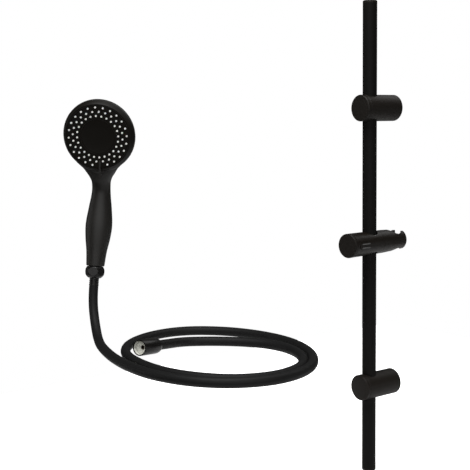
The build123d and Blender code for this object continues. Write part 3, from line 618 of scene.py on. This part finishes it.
class SHOWER_OT_hose(Operator):
    """Lay the hose along its route and fit its nuts, ferrule and threaded liner"""

    bl_idname = "shower.hose"
    bl_label = "Hose and Ends"

    def execute(self, context):
        sizes = settings().hose
        from_solid("handset_nut", "rail_set", coated_brass(), 0.3, crease=18.0)

        # Ferrule with its crimps
        top, bottom, wide = FERRULE_TOP, FERRULE_BOTTOM, FERRULE_R
        section = [(5.9, top), (wide - 0.3, top), (wide, top - 0.3)]
        for i in range(sizes.crimps):
            middle = top + (bottom - top) * (i + 1) / (sizes.crimps + 1)
            section += [(wide, middle + 0.9), (wide - 0.45, middle + 0.4)]
            section += [(wide - 0.45, middle - 0.4), (wide, middle - 0.9)]
        section += [(wide, bottom + 0.3), (wide - 0.3, bottom), (5.9, bottom), (5.9, top)]
        bm = bmesh.new()
        turned(bm, section, HANDSET)
        close_normals(bm)
        piece_from(bm, "ferrule", coated_brass(), "rail_set", ["handset_ferrule"])

        # Free nut with its round shoulder, and the washer in it
        mouth = hose_end_place()
        shoulder = [radians(15 * i) for i in range(7)]
        section = [(7.3, 0)] + [(8.2 + 3 * sin(a), 9 - 9 * cos(a)) for a in shoulder]
        section += [(11.2, 42.4), (10.9, 43), (9.6, 43), (9.45, 42.85), (9.45, 42.45), (10.45, 42.45)]
        section += [(10.45, LINER_FLOOR), (9.8, LINER_FLOOR), (9.8, 31.8), (7.3, 31.8), (7.3, 0)]
        bm = bmesh.new()
        turned(bm, section, mouth)
        close_normals(bm)
        piece_from(bm, "end_nut_finished", coated_brass(), "end_nut", ["end_nut"])

        bm = bmesh.new()
        turned(bm, [(3, 34.4), (9.5, 34.4), (9.5, 36.4), (5.4, 36.4), (3, 35), (3, 34.4)], mouth)
        close_normals(bm)
        piece_from(bm, "end_washer_finished", liner_abs(), "end_nut", ["end_washer"])

        # Liner, with its thread as a ridge that climbs one pitch a turn
        bm = bmesh.new()
        floor, lip = LINER_FLOOR, LINER_LIP
        turned(bm, [(9.6, floor), (10.4, floor), (10.4, lip), (9.6, lip), (9.6, floor)], mouth)
        close_normals(bm)
        pitch = sizes.thread_pitch / MM
        turns = (lip - floor - pitch) // pitch
        crest = [(9.7, 0.0), (9.35, 0.35 * pitch), (9.35, 0.45 * pitch), (9.7, 0.8 * pitch)]
        ridge = bmesh.new()
        corners = [ridge.verts.new(mouth @ at(radius, 0, floor + 0.1 + rise)) for radius, rise in crest]
        profile = ridge.faces.new(corners)
        bmesh.ops.spin(
            ridge,
            geom=[profile],
            cent=mouth.to_translation(),
            axis=mouth.to_3x3() @ Vector((0, 0, 1)),
            dvec=mouth.to_3x3() @ Vector((0, 0, sizes.thread_pitch / 48)),
            angle=2 * pi * turns,
            steps=int(48 * turns),
            use_merge=False,
        )
        close_normals(ridge)
        thread = bpy.data.meshes.new("thread")
        ridge.to_mesh(thread)
        ridge.free()
        bm.from_mesh(thread)
        bpy.data.meshes.remove(thread)
        piece_from(bm, "threaded_liner", liner_abs(), "end_nut", ["end_liner"])

        # Hose
        route = [HANDSET @ at(0, 0, bottom), HANDSET @ at(0, 0, bottom - FIRST_RUN)]
        route += [at(*point) for point in HOSE_ROUTE]
        curve = bpy.data.curves.new("hose", "CURVE")
        curve.dimensions = "3D"
        curve.resolution_u = 12
        curve.bevel_depth = sizes.diameter / 2
        curve.bevel_resolution = 8
        curve.use_fill_caps = True
        line = curve.splines.new("NURBS")
        line.points.add(len(route) - 1)
        for point, spot in zip(line.points, route):
            point.co = (*spot, 1.0)
        line.order_u = 3
        line.use_endpoint_u = True
        curve.materials.append(hose_skin())
        hose = bpy.data.objects.new("shower_hose", curve)
        context.scene.collection.objects.link(hose)
        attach(hose, "rail_set")
        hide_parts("hose")
        return {"FINISHED"}


class SHOWER_OT_inner_parts(Operator):
    """Give the inner parts, which keep their CAD form, their own materials"""

    bl_idname = "shower.inner_parts"
    bl_label = "Inner Parts"

    def execute(self, context):
        inner = (
            (nitrile, ("upper_rail_pad", "lower_rail_pad", "holder_ring")),
            (nitrile, ("selector_seal", "inlet_washer")),
            (drawn_steel, ("brake_spring", "holder_screw", "face_screw")),
            (acetal, ("brake_shoe",)),
            (inner_plastic, ("selector_disc", "distributor")),
            (turned_brass, ("handset_tail", "end_tail")),
        )
        for make, nodes in inner:
            for node in nodes:
                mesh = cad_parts[node].data
                mesh.materials.clear()
                mesh.materials.append(make())
        return {"FINISHED"}


class SHOWER_OT_studio(Operator):
    """Set the floor, the lamps and the camera"""

    bl_idname = "shower.studio"
    bl_label = "Studio"

    def paper(self):
        # Matt white paper: it shows white to the camera and keeps a faint shadow
        material = bpy.data.materials.new("Matt white paper")
        material.use_nodes = True
        tree = material.node_tree
        tree.nodes.remove(tree.nodes["Principled BSDF"])
        seen = add_node(tree, "ShaderNodeLightPath").outputs["Is Camera Ray"]
        lift = add_node(tree, "ShaderNodeMath", {"operation": "MULTIPLY"}, {0: seen, 1: 0.93})
        matt = add_node(tree, "ShaderNodeBsdfDiffuse", inputs={"Color": (*linear("#f2f2f2"), 1.0)})
        white = add_node(tree, "ShaderNodeEmission", inputs={"Strength": lift.outputs[0]})
        both = add_node(tree, "ShaderNodeAddShader", inputs={0: matt.outputs[0], 1: white.outputs[0]})
        tree.links.new(both.outputs[0], tree.nodes["Material Output"].inputs["Surface"])
        return material

    def lamp(self, name, spot, size, power):
        light = bpy.data.lights.new(name, "AREA")
        light.shape = "RECTANGLE"
        light.size, light.size_y = size
        light.energy = power
        lamp = bpy.data.objects.new(name, light)
        lamp.location = spot
        lamp.rotation_euler = (LAMP_AIM - Vector(spot)).to_track_quat("-Z", "Y").to_euler()
        bpy.context.scene.collection.objects.link(lamp)

    def execute(self, context):
        scene = context.scene
        light = settings().light
        bm = bmesh.new()
        under = Matrix.Translation(FLOOR_MIDDLE)
        bmesh.ops.create_grid(bm, x_segments=1, y_segments=1, size=FLOOR_REACH, matrix=under)
        mesh = bpy.data.meshes.new("floor")
        bm.to_mesh(mesh)
        bm.free()
        mesh.materials.append(self.paper())
        floor = bpy.data.objects.new("floor", mesh)
        scene.collection.objects.link(floor)

        world = bpy.data.worlds.new("White room")
        scene.world = world
        world.use_nodes = True
        tree = world.node_tree
        room = tree.nodes["Background"]
        room.inputs["Color"].default_value = (1, 1, 1, 1)
        room.inputs["Strength"].default_value = light.fill
        wall = add_node(tree, "ShaderNodeBackground", inputs={"Color": (1, 1, 1, 1), "Strength": 1.0})
        seen = add_node(tree, "ShaderNodeLightPath").outputs["Is Camera Ray"]
        mixed = {0: seen, 1: room.outputs[0], 2: wall.outputs[0]}
        both = add_node(tree, "ShaderNodeMixShader", inputs=mixed)
        tree.links.new(both.outputs[0], tree.nodes["World Output"].inputs["Surface"])

        self.lamp("Key", (0.2, -0.85, 1.7), (0.8, 0.8), light.key)
        self.lamp("Front", (1.47, -1.27, 0.62), (3.0, 1.0), light.front)
        self.lamp("Side", (-1.3, -1.6, 0.25), (0.8, 0.8), light.side)
        self.lamp("Top", (0.1, -0.2, 1.7), (1.2, 1.2), light.top)
        self.lamp("Back", (-0.2, 1.2, 1.5), (1.2, 1.2), light.back)
        self.lamp("Rim", (1.3, 1.15, -0.15), (0.5, 0.5), light.rim)

        camera = bpy.data.cameras.new("Camera")
        camera.sensor_width = 36.0
        camera.lens = camera.sensor_width * FOCAL_PIXELS / FRAME_PIXELS
        camera.clip_end = 50
        holder = bpy.data.objects.new("Camera", camera)
        holder.matrix_world = (
            Matrix.Translation(CAMERA_AT)
            @ Matrix.Rotation(radians(CAMERA_YAW), 4, "Z")
            @ Matrix.Rotation(pi / 2 - radians(CAMERA_PITCH), 4, "X")
            @ Matrix.Rotation(radians(CAMERA_ROLL), 4, "Z")
        )
        scene.collection.objects.link(holder)
        scene.camera = holder
        scene.view_settings.view_transform = "Standard"
        return {"FINISHED"}


class SHOWER_PT_panel(Panel):
    """Settings and pieces of the shower rail set"""

    bl_label = "Shower Rail Set"
    bl_idname = "SHOWER_PT_panel"
    bl_space_type = "VIEW_3D"
    bl_region_type = "UI"
    bl_category = "Shower"

    def draw(self, context):
        shower = context.scene.shower
        for group in (shower.colours, shower.handset, shower.hose, shower.light):
            box = self.layout.box()
            for key in group.__annotations__:
                box.prop(group, key)
        for step in STEPS:
            self.layout.operator(step.bl_idname)


GROUPS = (FinishColours, HandsetSizes, HoseSizes, StudioLight, ShowerSettings)
STEPS = (
    SHOWER_OT_rail,
    SHOWER_OT_slider,
    SHOWER_OT_handset,
    SHOWER_OT_spray_face,
    SHOWER_OT_hose,
    SHOWER_OT_inner_parts,
    SHOWER_OT_studio,
)


def register():
    for cls in GROUPS + STEPS + (SHOWER_PT_panel,):
        bpy.utils.register_class(cls)
    bpy.types.Scene.shower = PointerProperty(type=ShowerSettings)


def unregister():
    del bpy.types.Scene.shower
    for cls in reversed(GROUPS + STEPS + (SHOWER_PT_panel,)):
        bpy.utils.unregister_class(cls)


def main():
    register()
    for step in STEPS:
        area, name = step.bl_idname.split(".")
        getattr(getattr(bpy.ops, area), name)()


if __name__ == "__main__":
    main()
